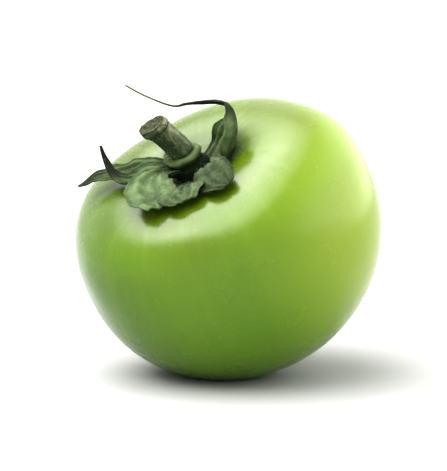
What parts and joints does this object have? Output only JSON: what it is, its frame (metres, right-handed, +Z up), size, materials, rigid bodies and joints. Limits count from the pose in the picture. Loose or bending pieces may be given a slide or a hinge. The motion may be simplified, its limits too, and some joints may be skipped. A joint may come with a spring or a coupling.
{
  "type": "green tomato",
  "caption": "Unripe green tomato, slightly flattened and leaning on a small flat spot, with a star-shaped calyx of curled sepals and a broken stem stub.",
  "frame": {"origin": "centre of the flat spot that the fruit rests on, straight below the middle of its widest ring", "axes": "+Z up, away from the resting spot; the stem end leans 30 degrees from +Z towards -X and -Y"},
  "size_m": [0.0603, 0.0599, 0.0573],
  "materials": {
    "green_skin": "waxy gloss, yellow-green",
    "sepal_leaf": "matt, finely hairy, grey-green",
    "dry_stem": "matt, drying, olive brown"
  },
  "bodies": {
    "root": {"fruit": "green_skin", "calyx": "sepal_leaf", "pedicel": "dry_stem"}
  },
  "joints": []
}
